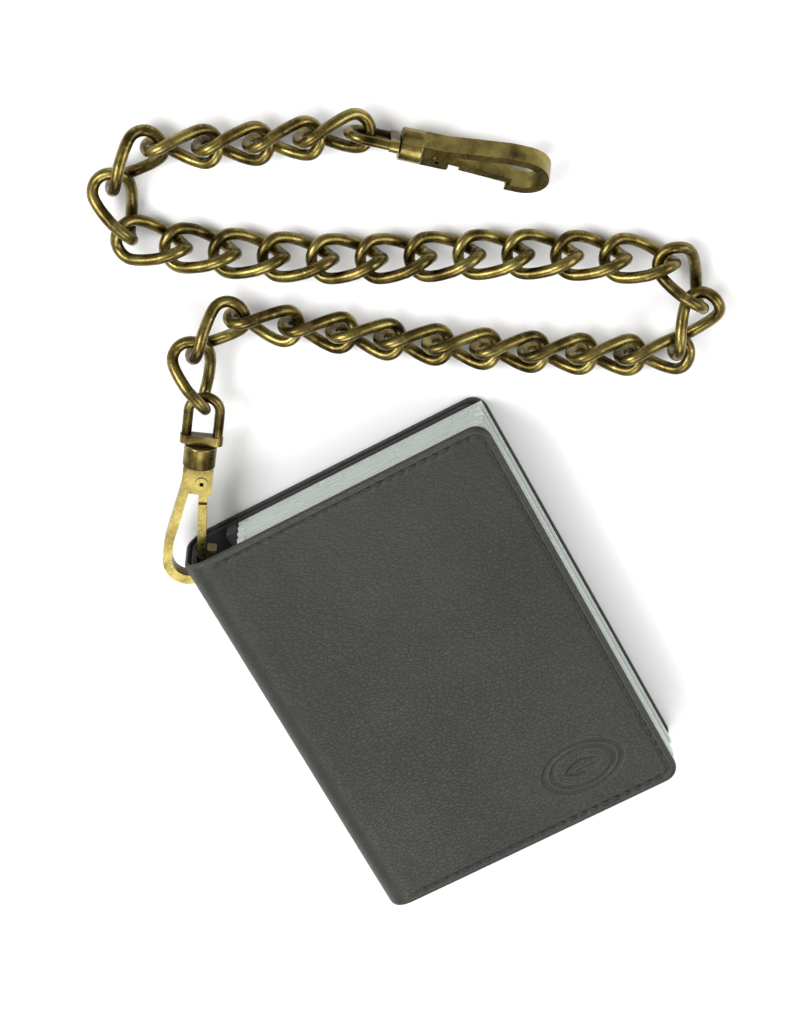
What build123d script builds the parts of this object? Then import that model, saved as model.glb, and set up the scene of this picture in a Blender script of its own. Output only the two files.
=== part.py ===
from build123d import *
import os
from math import cos, sin, pi, radians

# Bifold chain wallet: a folded leather cover round a block of clear card sleeves, a trigger snap
# through an eyelet in the spine, a twisted curb chain and a second snap for the belt loop.
# X runs from the spine to the opening edge, Y up the spine, Z up from the back cover. Millimetres.
# Pieces are drawn from the spine's lower corner; the shared origin is under the back cover's centre.
os.makedirs("parts", exist_ok=True)

# overall wallet
WIDTH = 87.0
HEIGHT = 114.0
THICK = 22.6
FOLD = 7.0                 # depth of the rounded spine
SPINE_R = 6.4              # radius of its two long corners
LEATHER = 1.3
LINING = 0.7
CORNER_R = 4.5
COVER_GAP = 0.3            # between the spine leather and the front cover
LINING_INSET = 1.2

# pockets inside the covers
POCKET_T = 0.9
POCKET_INSET = 2.5
POCKET_DROP = 34.0         # how far the pocket mouth is below the top edge

# stitches
STITCH_INSET = 2.3
STITCH_LEN = 2.3
STITCH_PITCH = 3.2
STITCH_W = 0.7
GROOVE_D = 0.35

# embossed badge on the front cover
BADGE_X, BADGE_Y = 65.0, 15.0
BADGE_RX, BADGE_RY = 11.0, 6.6
BADGE_LINE = 0.7
BADGE_D = 0.3

# card sleeves
BINDING_X, BINDING_T = 11.5, 3.0
SLEEVE_X = BINDING_X + BINDING_T + 0.4
SLEEVE_END = WIDTH - 0.6
SLEEVE_INSET = 1.6
SHEET_T = 0.33
CARD_T = 0.76
CARD_GAP = 0.1             # card to sheet, each side
SEAM = 2.2                 # welded border
LEAVES = 3                 # sleeves in each of the three groups
LEAF_GAP = 0.1
GROUP_GAP = 0.4
CARD_SHORT, CARD_STEP = 3.5, 1.2   # card edges below the sleeve's mouth

# eyelet in the spine
EYELET_Y = HEIGHT - 6.5
EYELET_Z = THICK / 2
EYELET_R = 3.2
EYELET_WALL = 0.4
FLANGE_R = 4.5
FLANGE_T = 0.35
EYELET_FIT = 0.02          # barrel to leather, all round

# chain link
LINK_L = 9.0               # half length, to the wire's centre
LINK_B = 5.0               # half width, to the wire's centre
LINK_R = 1.5               # wire radius
LINK_TWIST = 110.0
LINK_ROLL = -8.0
LINK_POINTS = 16

# how the chain lies: (links, pitch, first heading, last heading) in runs from the wallet
RUNS = (
    (3, 14.0, 75, -39),
    (7, 12.3, -38, -30),
    (3, 14.0, -27, 93),
    (5, 12.3, 146, 154),
    (5, 12.3, 154, 145),
    (3, 14.0, 142, 22),
    (4, 12.6, -28, -20),
)
CHAIN_Z = 6.3              # height of the chain's axis above the table
LOWERING = 4               # links over which the chain comes down to it from the eyelet
CHAIN_IN_EYE = 3.3         # first link's wire to the snap eye's wire
SNAP_HEADING = 55.0
BELT_HEADING = -41.0
BELT_TILT = 140.0

# trigger snap, measured from the eye end of its collar
EYE_R = 1.3
EYE_HALF = 4.0
EYE_REACH = 13.0
STEM_R = 1.6
SWIVEL_CLEAR = 0.06
HEAD_R = 2.6
COLLAR_R = 4.2
COLLAR_L = 5.9
BLOCK_END = 13.0
BLOCK_HALF = 3.9
HOOK_T = 2.4
HOOK_HALF_W = 2.4
HOOK_BEND = 5.6
HOOK_U = 31.5
NOSE_U = 28.2
PIVOT_U, PIVOT_V = 10.0, 1.2
RIVET_R = 1.1
RIVET_CLEAR = 0.06
RIVET_HEAD_R, RIVET_HEAD_T = 1.7, 0.35
RIVET_HOLE_R = 0.55
GATE_T = 2.2
GATE_ROOT_R = 2.3
GATE_ROOT_HALF = 1.25
GATE_HALF_W = 2.1
GATE_TIP_U, GATE_TIP_V = 29.4, 3.0
SLOT_CLEAR = 0.15
SPRING_R = 1.45
SPRING_WIRE = 0.18
SPRING_TURNS, SPRING_PITCH = 2.5, 0.4
SPRING_HALF = 0.75         # half width of the chamber for the spring


ORIGIN = Location((-WIDTH / 2, -HEIGHT / 2, 0))


def save(solid, label):
    """Move a finished piece to the shared origin and write it."""
    placed = solid.moved(ORIGIN)
    placed.label = label
    export_step(placed, f"parts/{label}.step")


def cover_outline(x0, x1, inset, radius):
    """Face between two X values with its two opening-edge corners rounded."""
    with BuildSketch() as face:
        with Locations(((x0 + x1) / 2, HEIGHT / 2)):
            Rectangle(x1 - x0, HEIGHT - 2 * inset)
        fillet(face.vertices().sort_by(Axis.X)[-2:], radius)
    return face.sketch


# ---------------------------------------------------------------- leather covers
def stitch_places():
    """Centre and angle of each stitch along the top, opening and bottom edges."""
    places = []
    run_x = WIDTH - STITCH_INSET - CORNER_R - FOLD - STITCH_INSET
    count_x = int(run_x // STITCH_PITCH)
    for y in (STITCH_INSET, HEIGHT - STITCH_INSET):
        for k in range(count_x):
            places.append((FOLD + STITCH_INSET + (k + 0.5) * STITCH_PITCH, y, 0))
    run_y = HEIGHT - 2 * STITCH_INSET - 2 * CORNER_R
    count_y = int(run_y // STITCH_PITCH)
    start = (HEIGHT - count_y * STITCH_PITCH) / 2
    for k in range(count_y):
        places.append((WIDTH - STITCH_INSET, start + (k + 0.5) * STITCH_PITCH, 90))
    return places


def groove_face():
    """The shallow line pressed into a cover for its stitches."""
    end_x = WIDTH - STITCH_INSET
    low, high = STITCH_INSET, HEIGHT - STITCH_INSET
    with BuildSketch() as face:
        with BuildLine():
            path = FilletPolyline((FOLD + 1, low), (end_x, low), (end_x, high), (FOLD + 1, high),
                                  radius=CORNER_R - 1)
        trace(path, line_width=STITCH_W + 0.3)
    return face.sketch


def stitches(z0, z1):
    with BuildPart() as row:
        for x, y, angle in stitch_places():
            with BuildSketch(Plane.XY.offset(z0)):
                with Locations(Location((x, y), angle)):
                    SlotOverall(STITCH_LEN, STITCH_W)
            extrude(amount=z1 - z0)
    return row.part


with BuildPart() as back_cover:
    with BuildSketch():
        add(cover_outline(FOLD, WIDTH, 0, CORNER_R))
    extrude(amount=LEATHER)
    with BuildSketch():
        add(groove_face())
    extrude(amount=GROOVE_D, mode=Mode.SUBTRACT)
save(back_cover.part, "back_cover")

with BuildPart() as front_cover:
    with BuildSketch(Plane.XY.offset(THICK - LEATHER)):
        add(cover_outline(FOLD + COVER_GAP, WIDTH, 0, CORNER_R))
    extrude(amount=LEATHER)
    with BuildSketch(Plane.XY.offset(THICK)):
        add(groove_face())
    extrude(amount=-GROOVE_D, mode=Mode.SUBTRACT)
    with BuildSketch(Plane.XY.offset(THICK)):
        with Locations((BADGE_X, BADGE_Y)):
            for scale in (1.0, 0.8):
                Ellipse(BADGE_RX * scale, BADGE_RY * scale)
                Ellipse(BADGE_RX * scale - BADGE_LINE, BADGE_RY * scale - BADGE_LINE, mode=Mode.SUBTRACT)
    extrude(amount=-BADGE_D, mode=Mode.SUBTRACT)
    # a plain leaf shape in the middle of the badge
    with BuildSketch(Plane.XY.offset(THICK)):
        with Locations((BADGE_X, BADGE_Y)):
            Ellipse(BADGE_RX * 0.4, BADGE_RY * 0.36)
            Rectangle(BADGE_RX * 0.9, BADGE_LINE * 0.6, mode=Mode.SUBTRACT)
    extrude(amount=-BADGE_D, mode=Mode.SUBTRACT)
save(front_cover.part, "front_cover")

save(stitches(0, GROOVE_D), "stitching_back")
save(stitches(THICK - GROOVE_D, THICK), "stitching_front")

with BuildPart() as back_lining:
    with BuildSketch(Plane.XY.offset(LEATHER)):
        add(cover_outline(FOLD, WIDTH - LINING_INSET, LINING_INSET, CORNER_R - 1))
    extrude(amount=LINING)
save(back_lining.part, "back_lining")

with BuildPart() as front_lining:
    with BuildSketch(Plane.XY.offset(THICK - LEATHER - LINING)):
        add(cover_outline(FOLD + COVER_GAP, WIDTH - LINING_INSET, LINING_INSET, CORNER_R - 1))
    extrude(amount=LINING)
save(front_lining.part, "front_lining")


def pocket(z0):
    """Leather card pocket lying on a lining, open towards the top edge."""
    x0, x1 = SLEEVE_X + 6, WIDTH - POCKET_INSET
    top = HEIGHT - POCKET_DROP
    with BuildPart() as panel:
        with BuildSketch(Plane.XY.offset(z0)):
            with BuildLine():
                Polyline((x0, top - 8), (x0, POCKET_INSET), (x1, POCKET_INSET), (x1, top))
                Spline((x1, top), ((x0 + x1) / 2, top - 1), (x0, top - 8))
            make_face()
        extrude(amount=POCKET_T)
    return panel.part


POCKET_Z = LEATHER + LINING
save(pocket(POCKET_Z), "back_pocket")
save(pocket(THICK - POCKET_Z - POCKET_T), "front_pocket")


# ---------------------------------------------------------------- spine
def fold(outer, inner, inset):
    """Rounded channel between two depths below the spine's outer surface, along Y."""
    with BuildPart() as shell:
        with BuildSketch(Plane.XZ.offset(-inset)):
            with Locations((FOLD, THICK / 2)):
                RectangleRounded(2 * (FOLD - outer), THICK - 2 * outer, SPINE_R - outer)
                RectangleRounded(2 * (FOLD - inner), THICK - 2 * inner, SPINE_R - inner,
                                 mode=Mode.SUBTRACT)
            with Locations((FOLD + WIDTH / 2, THICK / 2)):
                Rectangle(WIDTH, THICK, mode=Mode.SUBTRACT)
        extrude(amount=-(HEIGHT - 2 * inset))
        with Locations(Location((0, EYELET_Y, EYELET_Z), (0, 90, 0))):
            Cylinder(EYELET_R + EYELET_WALL, 2 * FOLD, mode=Mode.SUBTRACT)
    return shell.part


save(fold(0, LEATHER, 0), "spine_cover")
save(fold(LEATHER, LEATHER + LINING, LINING_INSET), "spine_lining")


def ring(r_in, r_out, x0, x1):
    """Flat ring round the eyelet's axis between two X values."""
    with BuildPart() as disc:
        with BuildSketch(Plane.YZ.offset(x0)):
            with Locations((EYELET_Y, EYELET_Z)):
                Circle(r_out)
                Circle(r_in, mode=Mode.SUBTRACT)
        extrude(amount=x1 - x0)
    return disc.part


EYELET_X0 = -FLANGE_T
EYELET_X1 = LEATHER + LINING + FLANGE_T
with BuildPart() as eyelet:
    add(ring(EYELET_R, FLANGE_R, EYELET_X0, 0))
    add(ring(EYELET_R, EYELET_R + EYELET_WALL - EYELET_FIT, EYELET_X0, EYELET_X1))
    fillet(eyelet.edges().filter_by(GeomType.CIRCLE).group_by(Axis.X)[0], 0.12)
save(eyelet.part, "eyelet")
save(ring(EYELET_R + EYELET_WALL, FLANGE_R, LEATHER + LINING, EYELET_X1), "eyelet_washer")


# ---------------------------------------------------------------- card sleeves
LEAF_T = 2 * SHEET_T + CARD_T + 2 * CARD_GAP
GROUP_T = LEAVES * LEAF_T + (LEAVES - 1) * LEAF_GAP
BLOCK_Z = POCKET_Z + POCKET_T + 0.3
GROUP_Z = [BLOCK_Z + k * (GROUP_T + GROUP_GAP) for k in range(3)]
SLEEVE_W = SLEEVE_END - SLEEVE_X
SLEEVE_H = HEIGHT - 2 * SLEEVE_INSET
SLEEVE_MID = (SLEEVE_X + SLEEVE_END) / 2


def sleeves(z0):
    """Clear pockets, welded on three sides and open at the top, one above the other."""
    with BuildPart() as leaves:
        for k in range(LEAVES):
            z = z0 + k * (LEAF_T + LEAF_GAP)
            with BuildSketch(Plane.XY.offset(z)):
                with Locations((SLEEVE_MID, HEIGHT / 2)):
                    RectangleRounded(SLEEVE_W, SLEEVE_H, 2.0)
            extrude(amount=LEAF_T)
            with BuildSketch(Plane.XY.offset(z + SHEET_T)):
                with Locations((SLEEVE_MID, HEIGHT / 2 + SEAM)):
                    Rectangle(SLEEVE_W - 2 * SEAM, SLEEVE_H)
            extrude(amount=LEAF_T - 2 * SHEET_T, mode=Mode.SUBTRACT)
    return leaves.part


def cards(z0):
    """A card or print in each sleeve; their top edges stand at different heights."""
    with BuildPart() as stack:
        for k in range(LEAVES):
            z = z0 + k * (LEAF_T + LEAF_GAP) + SHEET_T + CARD_GAP
            tall = SLEEVE_H - SEAM - CARD_SHORT - CARD_STEP * k
            with BuildSketch(Plane.XY.offset(z)):
                with Locations((SLEEVE_MID, SLEEVE_INSET + SEAM + 0.5 + tall / 2)):
                    RectangleRounded(SLEEVE_W - 2 * SEAM - 3.0, tall, 3.0)
            extrude(amount=CARD_T)
    return stack.part


for name, z in zip(("lower", "middle", "upper"), GROUP_Z):
    save(sleeves(z), f"sleeves_{name}")
    save(cards(z), f"cards_{name}")

with BuildPart() as binding:
    with BuildSketch(Plane.XY.offset(POCKET_Z)):
        with Locations((BINDING_X + BINDING_T / 2, HEIGHT / 2)):
            Rectangle(BINDING_T, SLEEVE_H)
    extrude(amount=GROUP_Z[0] + GROUP_T - POCKET_Z)
    # two punched slots near the top edge
    with BuildSketch(Plane.YZ.offset(BINDING_X)):
        with Locations(*((HEIGHT - SLEEVE_INSET - 2.5, POCKET_Z + dz) for dz in (2.4, 5.0))):
            Rectangle(2.2, 0.9)
    extrude(amount=BINDING_T, mode=Mode.SUBTRACT)
save(binding.part, "sleeve_binding")


# ---------------------------------------------------------------- chain
def link_point(share):
    """Point on the wire's centre line: an oval, twisted along its length."""
    half = LINK_L - LINK_B
    bend = pi * LINK_B
    q = (share % 1) * (4 * half + 2 * bend)
    if q < half:
        x, y = q, LINK_B
    elif q < half + bend:
        a = (q - half) / LINK_B
        x, y = half + LINK_B * sin(a), LINK_B * cos(a)
    elif q < 3 * half + bend:
        x, y = 2 * half + bend - q, -LINK_B
    elif q < 3 * half + 2 * bend:
        a = (q - 3 * half - bend) / LINK_B
        x, y = -half - LINK_B * sin(a), -LINK_B * cos(a)
    else:
        x, y = q - 4 * half - 2 * bend, LINK_B
    turn = radians(LINK_ROLL + LINK_TWIST * (1 - x / LINK_L) / 2)
    return Vector(x + LINK_L, y * cos(turn), y * sin(turn))


def half_loop(first):
    """Half of the link's wire, from one share of the loop to the opposite one."""
    eps = 0.001
    slopes = [link_point(first + k + eps) - link_point(first + k - eps) for k in (0, 0.5)]
    with BuildPart() as wire:
        with BuildLine() as path:
            Spline([link_point(first + k / LINK_POINTS) for k in range(LINK_POINTS // 2 + 1)],
                   tangents=slopes)
        with BuildSketch(Plane(origin=link_point(first), z_dir=slopes[0])):
            Circle(LINK_R)
        sweep(path=path.wire())
    return wire.part


with BuildPart() as link:
    add(half_loop(0))
    add(half_loop(0.5))

# snap on the wallet: its bend sits in the eyelet, its length points up and away from the spine
bend_centre = Vector((LEATHER + LINING) / 2, EYELET_Y + HOOK_BEND, EYELET_Z)
to_hook = Vector(-cos(radians(SNAP_HEADING)), -sin(radians(SNAP_HEADING)), 0)
wallet_snap = Plane(origin=bend_centre - to_hook * HOOK_U, x_dir=to_hook, z_dir=(0, 0, 1))

start = wallet_snap.from_local_coords(Vector(CHAIN_IN_EYE - EYE_REACH, 0, 0))
places = []
at = start
for count, pitch, first, last in RUNS:
    for k in range(count):
        heading = radians(first + (last - first) * k / (count - 1))
        fall = (EYELET_Z - CHAIN_Z) / LOWERING if len(places) < LOWERING else 0
        flat = (pitch ** 2 - fall ** 2) ** 0.5
        step = Vector(flat * cos(heading), flat * sin(heading), -fall)
        side = Vector(-sin(heading), cos(heading), 0)
        places.append(Plane(origin=at, x_dir=step, z_dir=step.cross(side)))
        at += step

for number, place in enumerate(places, 1):
    save(link.part.moved(place.location), f"link_{number:02d}")


# ---------------------------------------------------------------- trigger snap
with BuildPart() as snap_eye:
    arm_end = EYE_HALF - EYE_REACH
    with BuildLine() as loop:
        arm = Line((-1.2, EYE_HALF), (arm_end, EYE_HALF))
        top = CenterArc((arm_end, 0), EYE_HALF, 90, 180)
        Line(top @ 1, (-1.2, -EYE_HALF))
    with BuildSketch(Plane(origin=arm @ 0, z_dir=arm % 0)):
        Circle(EYE_R)
    sweep(path=loop.wire())
    with BuildSketch(Plane.YZ.offset(-2.6)):
        SlotOverall(2 * (EYE_HALF + EYE_R) + 0.5, 2 * EYE_R + 0.8)
    extrude(amount=2.3)
    with BuildSketch(Plane.YZ.offset(-2.6)):
        Circle(STEM_R)
    extrude(amount=2.6 + 4.6)
    with BuildSketch(Plane.YZ.offset(4.6)):
        Circle(HEAD_R)
    extrude(amount=0.9)

with BuildPart() as snap_body:
    with BuildSketch(Plane.YZ):
        Circle(COLLAR_R)
    extrude(amount=COLLAR_L)
    fillet(snap_body.edges().filter_by(GeomType.CIRCLE), 0.5)
    with BuildSketch(Plane.XY.offset(-HOOK_HALF_W)):
        with Locations(((COLLAR_L + BLOCK_END) / 2 - 0.3, 0)):
            RectangleRounded(BLOCK_END - COLLAR_L + 0.6, 2 * BLOCK_HALF, 0.8)
        # the hook's strip, round the bend and back to the nose
        with BuildLine():
            strip = Line((BLOCK_END - 2, HOOK_T / 2 - BLOCK_HALF), (HOOK_U - 5, 0.1 - HOOK_BEND))
            Spline(strip @ 1, (HOOK_U, -HOOK_BEND), tangents=(strip % 1, (1, 0)))
            bend = CenterArc((HOOK_U, 0), HOOK_BEND, -90, 180)
            Line(bend @ 1, (NOSE_U, HOOK_BEND))
        trace(line_width=HOOK_T)
    extrude(amount=2 * HOOK_HALF_W)
    # blind bore for the swivel's stem, with a chamber for its head
    with BuildSketch(Plane.YZ):
        Circle(STEM_R + SWIVEL_CLEAR)
    extrude(amount=4.5, mode=Mode.SUBTRACT)
    with BuildSketch(Plane.YZ.offset(4.4)):
        Circle(HEAD_R + 0.3)
    extrude(amount=1.3, mode=Mode.SUBTRACT)
    # slot between the two ears that carry the gate
    slot_half = GATE_ROOT_HALF + SLOT_CLEAR
    with BuildSketch(Plane.XY.offset(-slot_half)):
        with Locations((BLOCK_END, PIVOT_V + 0.5)):
            Rectangle(2 * (BLOCK_END - COLLAR_L - 0.9), 6.0)
    extrude(amount=2 * slot_half, mode=Mode.SUBTRACT)
    with Locations((PIVOT_U, PIVOT_V, 0)):
        Cylinder(RIVET_R + RIVET_CLEAR, 3 * HOOK_HALF_W, mode=Mode.SUBTRACT)

with BuildPart() as snap_gate:
    with BuildSketch(Plane.XY.offset(-GATE_ROOT_HALF)):
        with Locations((PIVOT_U, PIVOT_V)):
            Circle(GATE_ROOT_R)
        with BuildLine():
            bar = Line((PIVOT_U, PIVOT_V + 0.4), (GATE_TIP_U, GATE_TIP_V))
        trace(line_width=GATE_T)
    extrude(amount=2 * GATE_ROOT_HALF)
    # beyond the ears the gate is as wide as the hook
    with BuildSketch(Plane.XY.offset(-GATE_HALF_W)):
        with BuildLine():
            Line(bar @ 0.3, bar @ 1)
        trace(line_width=GATE_T)
    extrude(amount=2 * GATE_HALF_W)
    with Locations((PIVOT_U, PIVOT_V, 0)):
        Cylinder(RIVET_R + RIVET_CLEAR, 3 * HOOK_HALF_W, mode=Mode.SUBTRACT)
        Cylinder(SPRING_R + 2 * SPRING_WIRE, 2 * SPRING_HALF, mode=Mode.SUBTRACT)

with BuildPart() as snap_rivet:
    with Locations((PIVOT_U, PIVOT_V, 0)):
        Cylinder(RIVET_R, 2 * HOOK_HALF_W)
        for side in (-1, 1):
            with Locations((0, 0, side * (HOOK_HALF_W + RIVET_HEAD_T / 2))):
                Cylinder(RIVET_HEAD_R, RIVET_HEAD_T)
                Cylinder(RIVET_HOLE_R, 2.0, mode=Mode.SUBTRACT)

with BuildPart() as snap_spring:
    with BuildLine(Plane.XY.offset(-SPRING_TURNS * SPRING_PITCH / 2)) as coil:
        Helix(SPRING_PITCH, SPRING_TURNS * SPRING_PITCH, SPRING_R)
    with BuildSketch(Plane(origin=coil.wire() @ 0, z_dir=coil.wire() % 0)):
        Circle(SPRING_WIRE)
    sweep(path=coil.wire(), is_frenet=True)
spring = snap_spring.part.moved(Location((PIVOT_U, PIVOT_V, 0)))

# belt snap: its eye hangs in the last link, turned so that the back of the hook faces up
along = Vector(cos(radians(BELT_HEADING)), sin(radians(BELT_HEADING)), 0)
side = Vector(-sin(radians(BELT_HEADING)), cos(radians(BELT_HEADING)), 0)
tilt = radians(BELT_TILT)
belt_snap = Plane(origin=at + along * EYE_REACH, x_dir=along,
                  z_dir=side * sin(tilt) + Vector(0, 0, cos(tilt)))
belt_eye = Plane(origin=belt_snap.origin, x_dir=along, z_dir=side)

for label, body_at, eye_at in (("wallet", wallet_snap, wallet_snap), ("belt", belt_snap, belt_eye)):
    save(snap_eye.part.moved(eye_at.location), f"{label}_swivel_eye")
    save(snap_body.part.moved(body_at.location), f"{label}_hook")
    save(snap_gate.part.moved(body_at.location), f"{label}_gate")
    save(snap_rivet.part.moved(body_at.location), f"{label}_rivet")
    save(spring.moved(body_at.location), f"{label}_gate_spring")
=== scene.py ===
# %% [markdown]
# A folded leather wallet on a chain. The CAD frame gives every size and place; this file gives the
# pieces their leather, vinyl and brass. Everything is in metres, so one millimetre is written once.
# %% Load the frame
from math import cos, pi, sin

import bpy
import numpy as np
from mathutils import Matrix, Vector


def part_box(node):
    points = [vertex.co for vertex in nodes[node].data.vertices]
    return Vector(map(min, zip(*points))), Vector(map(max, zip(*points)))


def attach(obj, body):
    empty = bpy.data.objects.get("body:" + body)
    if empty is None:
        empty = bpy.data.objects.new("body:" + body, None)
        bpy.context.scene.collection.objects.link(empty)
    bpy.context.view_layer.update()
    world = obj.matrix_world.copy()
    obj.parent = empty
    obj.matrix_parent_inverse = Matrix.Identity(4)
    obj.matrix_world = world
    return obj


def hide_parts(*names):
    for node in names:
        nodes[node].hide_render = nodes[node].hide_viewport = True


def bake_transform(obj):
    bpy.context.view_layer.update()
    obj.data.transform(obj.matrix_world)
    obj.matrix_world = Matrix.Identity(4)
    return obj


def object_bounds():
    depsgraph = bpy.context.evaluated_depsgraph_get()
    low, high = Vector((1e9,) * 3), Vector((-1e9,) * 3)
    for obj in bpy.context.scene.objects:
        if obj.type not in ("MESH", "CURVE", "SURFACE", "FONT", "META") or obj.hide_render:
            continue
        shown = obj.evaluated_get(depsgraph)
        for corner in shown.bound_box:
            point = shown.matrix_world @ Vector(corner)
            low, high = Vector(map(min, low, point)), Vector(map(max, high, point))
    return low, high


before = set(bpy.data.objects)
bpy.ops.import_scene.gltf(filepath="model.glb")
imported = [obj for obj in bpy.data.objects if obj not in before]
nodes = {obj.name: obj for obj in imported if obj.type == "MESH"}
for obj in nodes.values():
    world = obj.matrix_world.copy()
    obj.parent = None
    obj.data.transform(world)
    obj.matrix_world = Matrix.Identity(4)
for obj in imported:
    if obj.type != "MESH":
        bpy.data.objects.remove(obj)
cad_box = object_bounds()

MM = 0.001
rng = np.random.default_rng(7)
print("CAD pieces:", len(nodes))

# %% [markdown]
# The camera comes first, so every later piece can be judged in its view. It looks down steeply from
# the chain's side of the wallet with a long lens, which keeps the cover's edges nearly parallel. A
# camera's axes are its right, its up and the opposite of its view direction, written as a matrix.
# %% Camera
LOOK = Vector((-0.1665, -0.3508, -0.9215)).normalized()
UP = Vector((0.4405, 0.8097, -0.3878))
UP = (UP - UP.dot(LOOK) * LOOK).normalized()
RIGHT = LOOK.cross(UP)
camera = bpy.data.objects.new("camera", bpy.data.cameras.new("camera"))
bpy.context.scene.collection.objects.link(camera)
camera.matrix_world = Matrix((
    (RIGHT.x, UP.x, -LOOK.x, 145.9 * MM),
    (RIGHT.y, UP.y, -LOOK.y, 324.3 * MM),
    (RIGHT.z, UP.z, -LOOK.z, 755.5 * MM),
    (0, 0, 0, 1)))
camera.data.lens = 109.9
camera.data.sensor_width = 36
camera.data.clip_end = 20
bpy.context.scene.camera = camera
print("camera looks along", tuple(round(c, 3) for c in LOOK))

# %% [markdown]
# Sizes are read from the CAD nodes. The spine's outer surface is a channel with two round corners;
# the covers carry on from it. Reading the boxes here means a change in the CAD moves the leather too.
# %% Measures from the frame
spine_lo, spine_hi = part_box("spine_cover")
cover_lo, cover_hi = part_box("front_cover")
lining_lo, lining_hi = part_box("front_lining")
X0, X1 = spine_lo.x, cover_hi.x
Y0, Y1 = spine_lo.y, spine_hi.y
THICK = spine_hi.z
LEATHER = cover_hi.z - cover_lo.z
LINING = lining_hi.z - lining_lo.z
SPINE_R = 6.4 * MM
CORNER_R = 4.5 * MM
eyelet_lo, eyelet_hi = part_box("eyelet")
EYELET_Y = (eyelet_lo.y + eyelet_hi.y) / 2
print(f"wallet {1000 * (X1 - X0):.1f} x {1000 * (Y1 - Y0):.1f} x {1000 * THICK:.1f} mm")

# %% [markdown]
# Effects that several finishes share are node groups. Each one puts out only a height, a mask or a
# colour; the shader itself stays in the material. These helpers make a group with its sockets and
# add nodes to a tree in one line.
# %% Node helpers
def new_group(name, inputs, outputs):
    """An empty shader node group with named sockets."""
    group = bpy.data.node_groups.new(name, "ShaderNodeTree")
    for label, kind, value in inputs:
        socket = group.interface.new_socket(label, in_out="INPUT", socket_type=kind)
        socket.default_value = value
    for label, kind in outputs:
        group.interface.new_socket(label, in_out="OUTPUT", socket_type=kind)
    return group, group.nodes.new("NodeGroupInput"), group.nodes.new("NodeGroupOutput")


def put(tree, kind, links=(), **values):
    """Add a node, set its values, and link (output socket, input name) pairs to it."""
    node = tree.nodes.new(kind)
    for key, value in values.items():
        if hasattr(node, key):
            setattr(node, key, value)
        else:
            node.inputs[key.replace("_", " ")].default_value = value
    for source, target in links:
        tree.links.new(source, node.inputs[target])
    return node


def ramp(tree, source, stops):
    """Colour ramp through (position, grey or colour) stops."""
    node = put(tree, "ShaderNodeValToRGB", [(source, "Fac")])
    cr = node.color_ramp
    while len(cr.elements) < len(stops):
        cr.elements.new(0.5)
    for element, (place, colour) in zip(cr.elements, stops):
        element.position = place
        element.color = (colour, colour, colour, 1) if isinstance(colour, (int, float)) else (*colour, 1)
    return node


FLOAT = "NodeSocketFloat"
print("node helpers ready")

# %% [markdown]
# Leather grain is a net of fine creases round small flat pebbles, with a few long soft wrinkles.
# A cell texture's distance to its edge gives the creases, warped by noise so that no line is
# straight and drawn out along the hide; a coarser noise adds the wrinkles. The mask is high on the
# tops and low in the creases; the leather uses it to paint shade into the creases.
# %% Grain group
grain, g_in, g_out = new_group(
    "grain", [("Scale", FLOAT, 1100.0), ("Wrinkle", FLOAT, 0.5)],
    [("Height", FLOAT), ("Tops", FLOAT), ("Cloud", FLOAT)])
place = put(grain, "ShaderNodeTexCoord").outputs["Object"]
warp = put(grain, "ShaderNodeTexNoise", [(place, "Vector")], Scale=420.0, Detail=3.0)
bend = put(grain, "ShaderNodeVectorMath", [(warp.outputs["Color"], 0)], operation="SCALE")
bend.inputs["Scale"].default_value = 0.0011
drawn = put(grain, "ShaderNodeVectorMath", [(place, 0)], operation="MULTIPLY")
drawn.inputs[1].default_value = (0.6, 1, 1)
moved = put(grain, "ShaderNodeVectorMath", [(drawn.outputs[0], 0), (bend.outputs[0], 1)], operation="ADD")
cells = put(grain, "ShaderNodeTexVoronoi", [(moved.outputs[0], "Vector"), (g_in.outputs["Scale"], "Scale")],
            feature="DISTANCE_TO_EDGE")
crease = ramp(grain, cells.outputs["Distance"], [(0.0, 0.0), (0.12, 0.7), (0.4, 1.0)])
fine = put(grain, "ShaderNodeTexNoise", [(place, "Vector")], Scale=2600.0, Detail=2.0)
long = put(grain, "ShaderNodeTexNoise", [(place, "Vector")], Scale=90.0, Detail=5.0, Roughness=0.65)
a = put(grain, "ShaderNodeMath", [(long.outputs["Fac"], 0), (g_in.outputs["Wrinkle"], 1)],
        operation="MULTIPLY")
b = put(grain, "ShaderNodeMath", [(fine.outputs["Fac"], 0)], operation="MULTIPLY")
b.inputs[1].default_value = 0.25
c = put(grain, "ShaderNodeMath", [(a.outputs[0], 0), (b.outputs[0], 1)], operation="ADD")
d = put(grain, "ShaderNodeMath", [(c.outputs[0], 0), (crease.outputs[0], 1)], operation="ADD")
cloud = put(grain, "ShaderNodeTexNoise", [(place, "Vector")], Scale=28.0, Detail=4.0)
grain.links.new(d.outputs[0], g_out.inputs["Height"])
grain.links.new(crease.outputs[0], g_out.inputs["Tops"])
grain.links.new(cloud.outputs["Fac"], g_out.inputs["Cloud"])
print("grain group:", len(grain.nodes), "nodes")

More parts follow.
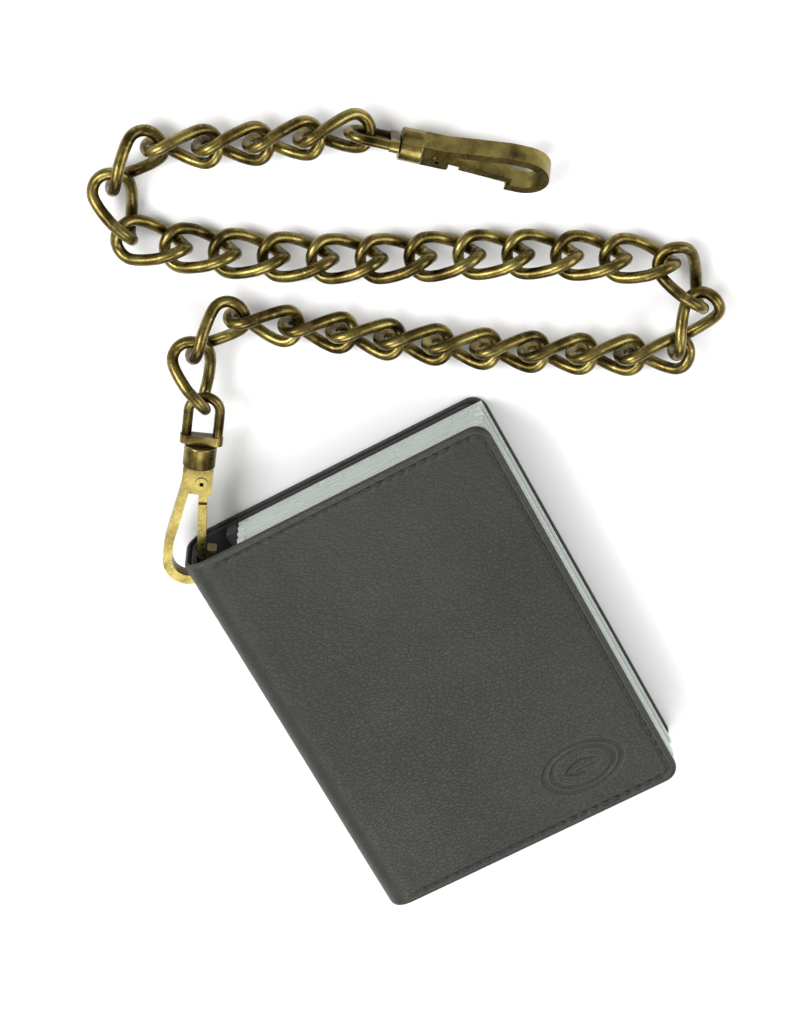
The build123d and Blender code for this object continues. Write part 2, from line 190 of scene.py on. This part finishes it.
# %% [markdown]
# Handling rubs the ridges of leather and metal first. The pointiness of a mesh is high on outward
# edges and low in hollows, so it gives both a rub mask and a dirt mask. Noise breaks the line up.
# %% Wear group
wear, w_in, w_out = new_group(
    "wear", [("Amount", FLOAT, 1.0), ("Scale", FLOAT, 200.0)],
    [("Rubbed", FLOAT), ("Hollow", FLOAT), ("Mottle", FLOAT)])
point = put(wear, "ShaderNodeNewGeometry").outputs["Pointiness"]
place = put(wear, "ShaderNodeTexCoord").outputs["Object"]
mottle = put(wear, "ShaderNodeTexNoise", [(place, "Vector"), (w_in.outputs["Scale"], "Scale")], Detail=6.0)
high = ramp(wear, point, [(0.50, 0.0), (0.58, 1.0)])
low = ramp(wear, point, [(0.42, 1.0), (0.495, 0.0)])
m = put(wear, "ShaderNodeMath", [(high.outputs[0], 0), (mottle.outputs["Fac"], 1)], operation="MULTIPLY")
m = put(wear, "ShaderNodeMath", [(m.outputs[0], 0), (w_in.outputs["Amount"], 1)], operation="MULTIPLY",
        use_clamp=True)
wear.links.new(m.outputs[0], w_out.inputs["Rubbed"])
wear.links.new(low.outputs[0], w_out.inputs["Hollow"])
wear.links.new(mottle.outputs["Fac"], w_out.inputs["Mottle"])
print("wear group:", len(wear.nodes), "nodes")

# %% [markdown]
# A woven cloth lining shows as two crossed sets of ribs. Two wave textures at right angles, with the
# larger of the two kept, give the over-and-under look for very little work.
# %% Weave group
weave, v_in, v_out = new_group("weave", [("Scale", FLOAT, 900.0)], [("Height", FLOAT)])
place = put(weave, "ShaderNodeTexCoord").outputs["Object"]
warp_x = put(weave, "ShaderNodeTexWave", [(place, "Vector"), (v_in.outputs["Scale"], "Scale")],
             bands_direction="X", Distortion=0.6)
warp_y = put(weave, "ShaderNodeTexWave", [(place, "Vector"), (v_in.outputs["Scale"], "Scale")],
             bands_direction="Y", Distortion=0.6)
over = put(weave, "ShaderNodeMath", [(warp_x.outputs["Fac"], 0), (warp_y.outputs["Fac"], 1)],
           operation="MAXIMUM")
weave.links.new(over.outputs[0], v_out.inputs["Height"])
print("weave group ready")


# %% [markdown]
# Every finish starts as an empty material with one Principled shader. Values that are the same all
# over are set on the shader's own sockets; only what changes over the surface is linked to it.
# %% Material helper
def finish_material(name, **values):
    """A material with one Principled shader; returns (material, tree, shader)."""
    material = bpy.data.materials.new(name)
    material.use_nodes = True
    tree = material.node_tree
    shader = tree.nodes["Principled BSDF"]
    for key, value in values.items():
        shader.inputs[key.replace("_", " ")].default_value = value
    return material, tree, shader


def group_node(tree, group, **values):
    node = tree.nodes.new("ShaderNodeGroup")
    node.node_tree = group
    for key, value in values.items():
        node.inputs[key].default_value = value
    return node


def bump(tree, shader, height, strength, distance):
    node = put(tree, "ShaderNodeBump", [(height, "Height")], Strength=strength, Distance=distance)
    tree.links.new(node.outputs["Normal"], shader.inputs["Normal"])
    return node


print("material helper ready")

# %% [markdown]
# Black full-grain leather is not quite black: it is a warm dark grey with a soft sheen, a little
# browner and glossier where it has been handled, and its creases carry painted shade. One function
# makes the cover leather and the smoother inner leather, which differ only in grain and sheen.
# %% Leather
def leather(name, scale, wrinkle, strength, tone, rough):
    """Dark leather; tone is the colour of the pebble tops."""
    material, tree, shader = finish_material(name, Specular_IOR_Level=0.32)
    skin = group_node(tree, grain, Scale=scale, Wrinkle=wrinkle)
    rub = group_node(tree, wear, Amount=0.9, Scale=160.0)
    # Painted shade: the creases are coloured 0.55 times as bright as the pebble tops.
    crease_shade_tone = tuple(0.55 * t for t in tone)
    warm = (tone[0] * 1.12, tone[1] * 1.07, tone[2] * 1.0)
    base = ramp(tree, skin.outputs["Tops"], [(0.0, crease_shade_tone), (1.0, tone)])
    handled = ramp(tree, skin.outputs["Cloud"], [(0.42, 0.0), (0.72, 1.0)])
    mix = put(tree, "ShaderNodeMix", [(handled.outputs[0], 0), (base.outputs[0], 6)], data_type="RGBA")
    mix.inputs[7].default_value = (*warm, 1)
    edge = put(tree, "ShaderNodeMix", [(rub.outputs["Rubbed"], 0), (mix.outputs[2], 6)], data_type="RGBA")
    edge.inputs[7].default_value = (tone[0] * 5.6, tone[1] * 4.8, tone[2] * 4.2, 1)
    tree.links.new(edge.outputs[2], shader.inputs["Base Color"])
    gloss = ramp(tree, skin.outputs["Cloud"], [(0.3, rough + 0.04), (0.75, rough - 0.04)])
    tree.links.new(gloss.outputs[0], shader.inputs["Roughness"])
    bump(tree, shader, skin.outputs["Height"], strength, 0.00010)
    return material


COVER_LEATHER = leather("cover_leather", 1050.0, 0.6, 0.6, (0.0170, 0.0188, 0.0152), 0.44)
INNER_LEATHER = leather("inner_leather", 1700.0, 0.3, 0.35, (0.013, 0.013, 0.014), 0.5)
print("leathers:", COVER_LEATHER.name, INNER_LEATHER.name)

# %% [markdown]
# Lining cloth is matt with a weave; sewing thread is waxed, so it has a twist and a faint shine.
# %% Lining and thread
LINING_CLOTH, tree, shader = finish_material("lining_cloth", Roughness=0.85, Sheen_Weight=0.25)
threads = group_node(tree, weave, Scale=950.0)
tint = ramp(tree, threads.outputs["Height"], [(0.0, (0.008, 0.008, 0.009)), (1.0, (0.03, 0.03, 0.033))])
tree.links.new(tint.outputs[0], shader.inputs["Base Color"])
bump(tree, shader, threads.outputs["Height"], 0.4, 0.00006)

THREAD, tree, shader = finish_material("waxed_thread", Roughness=0.5)
place = put(tree, "ShaderNodeTexCoord").outputs["Object"]
twist = put(tree, "ShaderNodeTexWave", [(place, "Vector")], bands_direction="DIAGONAL", Scale=1500.0,
            Distortion=1.0)
tint = ramp(tree, twist.outputs["Fac"], [(0.0, (0.003, 0.003, 0.004)), (1.0, (0.022, 0.022, 0.024))])
tree.links.new(tint.outputs[0], shader.inputs["Base Color"])
bump(tree, shader, twist.outputs["Fac"], 0.5, 0.00005)
print("lining and thread ready")

# %% [markdown]
# The sleeves are clear soft vinyl. Seen flat, one sheet is nearly invisible, but a stack seen on edge
# turns a cloudy grey-green. Part transmission with a pale tint and a soft roughness gives both.
# Cards are plain pale board with a slight fibre.
# %% Vinyl and card
VINYL, tree, shader = finish_material("clear_vinyl", IOR=1.45, Transmission_Weight=0.3)
film = group_node(tree, wear, Amount=0.5, Scale=45.0)
tint = ramp(tree, film.outputs["Mottle"], [(0.2, (0.66, 0.72, 0.68)), (0.9, (0.74, 0.79, 0.76))])
tree.links.new(tint.outputs[0], shader.inputs["Base Color"])
haze = ramp(tree, film.outputs["Mottle"], [(0.3, 0.22), (0.8, 0.36)])
tree.links.new(haze.outputs[0], shader.inputs["Roughness"])
bump(tree, shader, film.outputs["Mottle"], 0.1, 0.00005)

CARD, tree, shader = finish_material("pale_card")
fibre = group_node(tree, wear, Amount=0.5, Scale=900.0)
tint = ramp(tree, fibre.outputs["Mottle"], [(0.3, (0.60, 0.58, 0.60)), (0.7, (0.76, 0.74, 0.76))])
tree.links.new(tint.outputs[0], shader.inputs["Base Color"])
haze = ramp(tree, fibre.outputs["Mottle"], [(0.3, 0.5), (0.8, 0.65)])
tree.links.new(haze.outputs[0], shader.inputs["Roughness"])
bump(tree, shader, fibre.outputs["Mottle"], 0.2, 0.00004)
print("vinyl and card ready")

# %% [markdown]
# Antique brass is plated, darkened and then buffed: the metal is bright olive gold where it was
# rubbed and dark brown in the hollows, with soft cloudy bands between and fine buffing marks.
# %% Antique brass
def brass(name, dark, mid, bright, rough):
    """Darkened and buffed plating, from three colours."""
    material, tree, shader = finish_material(name, Metallic=1.0)
    rub = group_node(tree, wear, Amount=1.2, Scale=170.0)
    marks = put(tree, "ShaderNodeTexNoise", [(put(tree, "ShaderNodeTexCoord").outputs["Object"], "Vector")],
                Scale=1400.0, Detail=3.0)
    cloudy = ramp(tree, rub.outputs["Mottle"], [(0.36, dark), (0.50, mid), (0.66, bright)])
    hollow = put(tree, "ShaderNodeMix", [(rub.outputs["Hollow"], 0), (cloudy.outputs[0], 6)],
                 data_type="RGBA")
    hollow.inputs[7].default_value = (dark[0] * 0.5, dark[1] * 0.45, dark[2] * 0.4, 1)
    edge = put(tree, "ShaderNodeMix", [(rub.outputs["Rubbed"], 0), (hollow.outputs[2], 6)], data_type="RGBA")
    edge.inputs[7].default_value = (bright[0] * 1.2, bright[1] * 1.2, bright[2] * 1.2, 1)
    tree.links.new(edge.outputs[2], shader.inputs["Base Color"])
    gloss = ramp(tree, marks.outputs["Fac"], [(0.3, rough - 0.07), (0.7, rough + 0.1)])
    tree.links.new(gloss.outputs[0], shader.inputs["Roughness"])
    bump(tree, shader, marks.outputs["Fac"], 0.12, 0.00004)
    return material


ANTIQUE_BRASS = brass("antique_brass", (0.035, 0.023, 0.007), (0.125, 0.092, 0.025),
                      (0.26, 0.21, 0.065), 0.30)
EYELET_METAL = brass("eyelet_metal", (0.02, 0.02, 0.018), (0.05, 0.048, 0.04), (0.14, 0.13, 0.10), 0.35)
SPRING_WIRE = brass("spring_wire", (0.16, 0.16, 0.16), (0.3, 0.3, 0.3), (0.5, 0.5, 0.5), 0.3)
print("brass ready")


# %% [markdown]
# The covers and the spine look like one piece of leather, so they are made as sheets that wrap over
# the spine's round corner. A point on a sheet is given by how far it is along the wrap from the
# middle of the spine, and by its Y. The front sheet has to bend where the cover opens, so the front
# and the back are separate sheets that meet along the middle of the spine.
# %% The wrap
RISE = THICK / 2 - SPINE_R
ARC = SPINE_R * pi / 2
REACH = RISE + ARC + (X1 - X0 - SPINE_R)


def wrap(s):
    """Outer surface at distance s from the middle of the spine: x, height above middle, normal."""
    s = np.asarray(s, float)
    turn = np.clip((s - RISE) / SPINE_R, 0, pi / 2)
    x = X0 + SPINE_R * (1 - np.cos(turn)) + np.maximum(s - RISE - ARC, 0)
    h = np.minimum(s, RISE) + SPINE_R * np.sin(turn)
    return x, h, -np.cos(turn), np.sin(turn)


def spaced(start, stop, fine_zones, fine=0.36 * MM, coarse=1.6 * MM):
    """Grid lines from start to stop, close together in the fine zones."""
    lines, at = [start], start
    while at < stop - 1e-9:
        close = any(lo - 1e-9 <= at < hi for lo, hi in fine_zones)
        step = fine if close else coarse
        for lo, _ in fine_zones:
            if not close and at < lo < at + step:
                step = lo - at
        at = min(at + step, stop)
        lines.append(at)
    return np.array(lines)


print(f"half wrap is {REACH / MM:.1f} mm long")


# %% [markdown]
# Three things shape the cover's surface. Its cut edge is rounded over; a pressed line runs 2.3 mm
# inside the edge and each stitch pulls the leather down a little more; and the badge is stamped in.
# Each is a small height added along the surface normal, worked out from the distance to the outline.
# %% Surface shaping
STITCH_INSET, STITCH_PITCH = 2.3 * MM, 3.2 * MM
BADGE_X, BADGE_Y = X0 + 65.0 * MM, Y0 + 15.0 * MM
BADGE_RX, BADGE_RY = 11.0 * MM, 6.6 * MM


def edge_distance(x, y, x_end, y_lo, y_hi, radius):
    """Distance inward from a sheet's outline: three edges and two rounded corners."""
    mid, half = (y_lo + y_hi) / 2, (y_hi - y_lo) / 2
    qx = x - (x_end - radius)
    qy = np.abs(y - mid) - (half - radius)
    outside = np.hypot(np.maximum(qx, 0), np.maximum(qy, 0))
    return radius - outside - np.minimum(np.maximum(qx, qy), 0)


def rounded_edge(d, radius):
    """Drop of a surface whose edge is rounded over."""
    t = np.clip(1 - d / radius, 0, 1)
    return -radius * (1 - np.sqrt(np.clip(1 - t * t, 0, 1))) * 0.85


def seam_line(x, y, d):
    """The pressed line and the pull of each stitch."""
    along = np.where(X1 - x < np.minimum(y - Y0, Y1 - y), y, x)
    pull = 0.7 + 0.3 * np.cos(2 * pi * along / STITCH_PITCH)
    dip = -0.5 * MM * pull * np.exp(-((d - STITCH_INSET) / (0.55 * MM)) ** 2)
    welt = 0.2 * MM * np.exp(-((d - 1.45 * MM) / (0.4 * MM)) ** 2)
    return dip + welt


def oval_line(u, v, scale):
    """Pressed oval line at a share of the badge's size."""
    r = np.hypot(u / (BADGE_RX * scale), v / (BADGE_RY * scale))
    across = (r - 1) * BADGE_RY * scale
    return -0.4 * MM * np.exp(-(across / (0.3 * MM)) ** 2)


def badge(x, y):
    """Two pressed ovals round a plain leaf with a midrib."""
    u, v = x - BADGE_X, y - BADGE_Y
    leaf_l, leaf_w = 5.6 * MM, 2.4 * MM
    t = np.clip(1 - (u / leaf_l) ** 2, 0, 1)
    inside = np.clip((leaf_w * t - np.abs(v)) / (0.5 * MM), 0, 1)
    ribs = 0.5 * np.exp(-(v / (0.3 * MM)) ** 2)
    veins = 0.3 * np.clip(np.cos(2 * pi * (np.abs(u) - 0.8 * np.abs(v)) / (1.9 * MM)) - 0.5, 0, 1)
    leaf = -0.38 * MM * inside * (1 - ribs - veins)
    return oval_line(u, v, 1.0) + oval_line(u, v, 0.8) + leaf


def soft_wave(x, y, size):
    """Slow unevenness of hand-made leather."""
    return size * (np.sin(61 * x + 1.3) * np.cos(47 * y + 0.4) + 0.5 * np.sin(133 * x - 71 * y))


print("shaping functions ready")


# %% [markdown]
# The sheet builder lays a grid over the wrap, bends its two outer corners round, adds the shaping,
# leaves out the cells over the eyelet, and closes the sheet with an inner side. The corner uses the
# square-to-disc map, which keeps every grid line smooth and leaves no long thin faces.
# %% Sheet builder
def mesh_object(name, verts, faces, material):
    mesh = bpy.data.meshes.new(name)
    mesh.from_pydata([tuple(v) for v in verts], [], faces)
    mesh.validate()
    mesh.update()
    mesh.materials.append(material)
    for face in mesh.polygons:
        face.use_smooth = True
    obj = bpy.data.objects.new(name, mesh)
    bpy.context.scene.collection.objects.link(obj)
    return obj


def close_sheet(outer, inner, keep):
    """Vertices and faces of a closed sheet from two grids and a mask of the cells to keep."""
    rows, cols = outer.shape[:2]
    index = np.arange(rows * cols).reshape(rows, cols)
    shift = rows * cols
    faces, border = [], {}
    for i in range(rows - 1):
        for j in range(cols - 1):
            if not keep[i, j]:
                continue
            a, b, c, d = index[i, j], index[i + 1, j], index[i + 1, j + 1], index[i, j + 1]
            faces.append((a, b, c, d))
            faces.append((d + shift, c + shift, b + shift, a + shift))
            for edge in ((a, b), (b, c), (c, d), (d, a)):
                if edge[::-1] in border:
                    del border[edge[::-1]]
                else:
                    border[edge] = True
    for p, q in border:
        faces.append((q, p, p + shift, q + shift))
    verts = np.concatenate([outer.reshape(-1, 3), inner.reshape(-1, 3)])
    used = sorted({v for f in faces for v in f})
    renumber = {int(v): k for k, v in enumerate(used)}
    return verts[used], [tuple(renumber[int(v)] for v in f) for f in faces]


def corner_round(x, y, x_end, y_lo, y_hi, radius):
    """Moves grid points of the two square outer corners into round ones."""
    mid, half = (y_lo + y_hi) / 2, (y_hi - y_lo) / 2
    sign = np.sign(y - mid)
    u = np.clip((x - (x_end - radius)) / radius, 0, 1)
    v = np.clip((np.abs(y - mid) - (half - radius)) / radius, 0, 1)
    both = (u > 0) & (v > 0)
    new_x = x_end - radius + radius * u * np.sqrt(1 - v * v / 2)
    new_y = mid + sign * (half - radius + radius * v * np.sqrt(1 - u * u / 2))
    return np.where(both, new_x, x), np.where(both, new_y, y)


def wrapped_sheet(name, side, depth, thick, inset, material, edge_r, tooled):
    """Half of the cover (side +1 front, -1 back) at a depth below the outer surface."""
    y_lo, y_hi, x_end = Y0 + inset, Y1 - inset, X1 - inset
    length = REACH - inset
    fine_s = [(0, 6 * MM), (length - 6 * MM, length)]
    fine_y = [(y_lo, y_lo + 5 * MM), (y_hi - 11 * MM, y_hi)]
    if tooled:
        offset = REACH - X1
        fine_s.insert(1, (BADGE_X - 12 * MM + offset, BADGE_X + 12 * MM + offset))
        fine_y.insert(1, (BADGE_Y - 7.5 * MM, BADGE_Y + 7.5 * MM))
    if not depth:
        step = 0.36 * MM
    else:
        step = 0.7 * MM
    s, y = np.meshgrid(spaced(0, length, fine_s, step), spaced(y_lo, y_hi, fine_y, step), indexing="ij")
    x, h, nx, nh = wrap(s)
    flat = s > RISE + ARC
    rx, ry = corner_round(x, y, x_end, y_lo, y_hi, CORNER_R)
    x, y = np.where(flat, rx, x), np.where(flat, ry, y)
    d = edge_distance(x, y, x_end, y_lo, y_hi, CORNER_R)
    lift = rounded_edge(d, edge_r)
    if not depth:
        open_edges = np.clip((s - RISE - ARC) / (3 * MM), 0, 1)
        lift = lift + seam_line(x, y, d) * open_edges
        lift = lift + soft_wave(x, y, 0.05 * MM) * np.clip(d / (6 * MM), 0, 1)
    if tooled:
        lift = lift + badge(x, y) * flat
    out = lift - depth
    z_mid = THICK / 2
    outer = np.stack([x + nx * out, y, z_mid + side * (h + nh * out)], -1)
    base = -(depth + thick) - 0.35 * rounded_edge(d, edge_r)
    inner = np.stack([x + nx * base, y, z_mid + side * (h + nh * base)], -1)
    centre = (outer[:-1, :-1] + outer[1:, 1:]) / 2
    away = np.hypot(centre[..., 1] - EYELET_Y, centre[..., 2] - z_mid)
    keep = (away > 3.85 * MM) | (centre[..., 0] > X0 + 4 * MM)
    verts, faces = close_sheet(outer, inner, keep)
    if side < 0:
        faces = [f[::-1] for f in faces]
    obj = mesh_object(name, verts, faces, material)
    print(f"{name}: {len(faces)} faces")
    return obj


front_leather = wrapped_sheet("front_leather", 1, 0, LEATHER, 0, COVER_LEATHER, 1.1 * MM, True)
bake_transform(front_leather)
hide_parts("front_cover", "spine_cover")
back_leather = wrapped_sheet("back_leather", -1, 0, LEATHER, 0, COVER_LEATHER, 1.1 * MM, False)
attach(back_leather, "wallet")
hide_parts("back_cover")

INSET = lining_lo.y - Y0
CLOTH_DEPTH = LEATHER + 0.02 * MM
front_cloth = wrapped_sheet("front_cloth", 1, CLOTH_DEPTH, LINING, INSET, LINING_CLOTH, 0.4 * MM, False)
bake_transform(front_cloth)
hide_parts("front_lining", "spine_lining")
back_cloth = wrapped_sheet("back_cloth", -1, CLOTH_DEPTH, LINING, INSET, LINING_CLOTH, 0.4 * MM, False)
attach(back_cloth, "wallet")
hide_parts("back_lining")

# %% [markdown]
# A stitch is a short fat thread that comes up out of one hole and dives into the next. One stitch is
# a small bowed tube with pinched ends; the row repeats it at the sewing pitch with a little hand
# wobble, as one mesh for each cover.
# %% Stitches
def one_stitch(length=2.5 * MM, radius=0.4 * MM, rings=9, sides=8):
    """Vertices and faces of a bowed thread along X, its ends below the surface."""
    verts, faces = [], []
    for i in range(rings):
        t = i / (rings - 1)
        bow = sin(pi * t)
        thick = radius * (0.45 + 0.55 * bow ** 0.5)
        for k in range(sides):
            a = 2 * pi * k / sides
            verts.append(((t - 0.5) * length, thick * cos(a), thick * sin(a) * 0.8 + 0.30 * MM * (bow - 1)))
    for i in range(rings - 1):
        for k in range(sides):
            n = (k + 1) % sides
            faces.append((i * sides + k, i * sides + n, (i + 1) * sides + n, (i + 1) * sides + k))
    faces.append(tuple(range(sides - 1, -1, -1)))
    faces.append(tuple(range((rings - 1) * sides, rings * sides)))
    return np.array(verts), faces


def stitch_places():
    """Middle and direction of each stitch along the three open edges."""
    places = []
    run = X1 - STITCH_INSET - CORNER_R - spine_hi.x - STITCH_INSET
    for y in (Y0 + STITCH_INSET, Y1 - STITCH_INSET):
        for k in range(int(run // STITCH_PITCH)):
            places.append((spine_hi.x + STITCH_INSET + (k + 0.5) * STITCH_PITCH, y, 0.0))
    tall = Y1 - Y0 - 2 * STITCH_INSET - 2 * CORNER_R
    count = int(tall // STITCH_PITCH)
    first = (Y0 + Y1) / 2 - count * STITCH_PITCH / 2
    for k in range(count):
        places.append((X1 - STITCH_INSET, first + (k + 0.5) * STITCH_PITCH, pi / 2))
    return places


def stitch_row(name, side):
    shape, pattern = one_stitch()
    verts, faces = [], []
    for x, y, angle in stitch_places():
        a = angle + rng.normal(0, 0.05)
        c, s = cos(a), sin(a)
        start = len(verts)
        for vx, vy, vz in shape:
            verts.append((x + c * vx - s * vy, y + s * vx + c * vy,
                          THICK / 2 + side * (THICK / 2 - 0.22 * MM + vz)))
        for f in pattern:
            faces.append(tuple(start + i for i in (f if side > 0 else f[::-1])))
    print(name, len(stitch_places()), "stitches")
    return mesh_object(name, verts, faces, THREAD)


for name, side, body, node in (("front_stitches", 1, "cover", "stitching_front"),
                               ("back_stitches", -1, "wallet", "stitching_back")):
    row = stitch_row(name, side)
    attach(row, body)
    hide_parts(node)

# %% [markdown]
# Flat soft pieces, such as the slip pockets and the vinyl sheets, are thin slabs with rounded rims.
# One builder makes them all: a grid for each face, closed at the rim. The mouth of a pocket can dip,
# as a leather pocket's top edge does.
# %% Slab builder
def closer_at_ends(t):
    """Shares from 0 to 1, spaced closer together at both ends."""
    return t - 0.35 * np.sin(2 * pi * t) / (2 * pi)


def slab(lo, hi, rim, dip=0.0, cells=(26, 36)):
    """Vertices and faces of a thin slab between two corners."""
    u = np.linspace(0, 1, cells[0] + 1)
    v = np.linspace(0, 1, cells[1] + 1)
    u, v = np.meshgrid(closer_at_ends(u), closer_at_ends(v), indexing="ij")
    x = lo[0] + (hi[0] - lo[0]) * u
    top = hi[1] - dip * np.sin(pi * u)
    y = lo[1] + (top - lo[1]) * v
    d = np.minimum(np.minimum(x - lo[0], hi[0] - x), np.minimum(y - lo[1], top - y))
    drop = rounded_edge(d, rim) if rim else 0 * d
    upper = np.stack([x, y, hi[2] + drop], -1)
    lower = np.stack([x, y, lo[2] - drop], -1)
    return close_sheet(upper, lower, np.ones((cells[0], cells[1]), bool))


def joined(parts):
    """Several (vertices, faces) as one."""
    verts, faces = [], []
    for v, f in parts:
        start = len(verts)
        verts.extend(map(tuple, v))
        faces.extend(tuple(start + i for i in face) for face in f)
    return verts, faces


for node, body in (("front_pocket", "cover"), ("back_pocket", "wallet")):
    lo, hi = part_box(node)
    pocket = mesh_object(node + "_leather", *slab(lo, hi, 0.4 * MM, dip=4 * MM), INNER_LEATHER)
    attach(pocket, body)
    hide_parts(node)
print("pockets ready")

# %% [markdown]
# Each sleeve is two vinyl sheets welded along three sides, with the mouth at the top. The sheets of
# a used wallet are never quite flush, so each is a little longer or shorter than the next. A group
# of three sleeves is one piece, because it turns as one.
# %% Vinyl sleeves
LEAVES = 3
LEAF_GAP = 0.1 * MM
SHEET_T = 0.33 * MM
WELD = 2.2 * MM
SEAM_GAP = 0.02 * MM


def sleeve_group(node):
    lo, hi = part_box(node)
    leaf = (hi.z - lo.z - (LEAVES - 1) * LEAF_GAP) / LEAVES
    parts = []
    for k in range(LEAVES):
        z = lo.z + k * (leaf + LEAF_GAP)
        ends = rng.uniform(-0.5, 0.25, 4) * MM
        x0, x1 = lo.x + 0.1 * MM, hi.x + ends[0]
        y0, y1 = lo.y - ends[1], hi.y + ends[2]
        for z0 in (z, z + leaf - SHEET_T):
            parts.append(slab((x0, y0, z0), (x1, y1, z0 + SHEET_T), 0.05 * MM))
        welds = (((x0, y0), (x1, y0 + WELD)), ((x0, y0 + WELD), (x0 + WELD, y1)),
                 ((x1 - WELD, y0 + WELD), (x1, y1)))
        for a, b in welds:
            parts.append(slab((*a, z + SHEET_T + SEAM_GAP), (*b, z + leaf - SHEET_T - SEAM_GAP), 0,
                              cells=(3, 12)))
    return joined(parts)


for node, body in (("sleeves_lower", "wallet"), ("sleeves_middle", "sleeves_mid"),
                   ("sleeves_upper", "sleeves_top")):
    group = mesh_object(node + "_vinyl", *sleeve_group(node), VINYL)
    for face in group.data.polygons:
        face.use_smooth = False
    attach(group, body)
    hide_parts(node)
print("sleeves ready")

# %% [markdown]
# The rest are hard pieces whose CAD shape is already right. They get their finish, and the ones with
# cut edges get a small bevel, because a real edge always catches a thin line of light.
# %% Finishes on the CAD pieces
def dress(node, material, bevel=0.0, segments=2):
    """Gives a CAD piece its finish and, where asked, a rounded edge."""
    obj = nodes[node]
    if not obj.material_slots:
        obj.data.materials.append(material)
    for slot in obj.material_slots:
        slot.material = material
    if bevel:
        mod = obj.modifiers.new("rounded_edges", "BEVEL")
        mod.width = bevel
        mod.segments = segments
        mod.limit_method = "ANGLE"
        mod.angle_limit = 0.7
        mod.harden_normals = False


for node in nodes:
    if node.startswith("link_"):
        dress(node, ANTIQUE_BRASS)
    elif node.startswith("cards_"):
        dress(node, CARD, 0.05 * MM, 1)
for snap in ("wallet", "belt"):
    dress(snap + "_hook", ANTIQUE_BRASS, 0.45 * MM, 3)
    dress(snap + "_gate", ANTIQUE_BRASS, 0.3 * MM)
    dress(snap + "_rivet", ANTIQUE_BRASS, 0.1 * MM)
    dress(snap + "_swivel_eye", ANTIQUE_BRASS, 0.2 * MM)
    dress(snap + "_gate_spring", SPRING_WIRE)
dress("eyelet", EYELET_METAL)
dress("eyelet_washer", EYELET_METAL, 0.05 * MM, 1)
dress("sleeve_binding", INNER_LEATHER, 0.3 * MM)
print("finishes set on", sum(not o.hide_render for o in nodes.values()), "CAD pieces")

# %% [markdown]
# The floor is a plain pale sheet a little below the wallet, and the light is a soft studio set: one
# broad lamp behind the wallet for the leather's sheen and the brass's bright bands, one from the
# side to fill, and a pale surround that shows in the metal.
# %% Floor and light
span = 3.0
floor = mesh_object("floor", [(-span, -span, 0), (span, -span, 0), (span, span, 0), (-span, span, 0)],
                    [(0, 1, 2, 3)], finish_material("floor", Base_Color=(0.9, 0.9, 0.9, 1), Roughness=0.9)[0])
floor.location.z = cad_box[0][2] - 0.3 * MM


def lamp(name, place, target, size, power):
    data = bpy.data.lights.new(name, "AREA")
    data.size = size
    data.energy = power
    obj = bpy.data.objects.new(name, data)
    obj.location = place
    obj.rotation_euler = (Vector(target) - Vector(place)).to_track_quat("-Z", "Y").to_euler()
    bpy.context.scene.collection.objects.link(obj)
    return obj


lamp("key", (-0.5, 0.55, 0.8), (0, 0.03, 0), 0.5, 9)
lamp("fill", (0.75, -0.2, 0.7), (0.02, 0.05, 0), 0.6, 5)
lamp("top", (-0.35, -0.5, 0.9), (0, 0.05, 0), 0.6, 5.6)
world = bpy.data.worlds.new("studio")
world.use_nodes = True
world.node_tree.nodes["Background"].inputs["Color"].default_value = (1, 1, 1, 1)
world.node_tree.nodes["Background"].inputs["Strength"].default_value = 0.5
bpy.context.scene.world = world
bpy.context.scene.view_settings.view_transform = "Standard"
print("floor and lights ready")
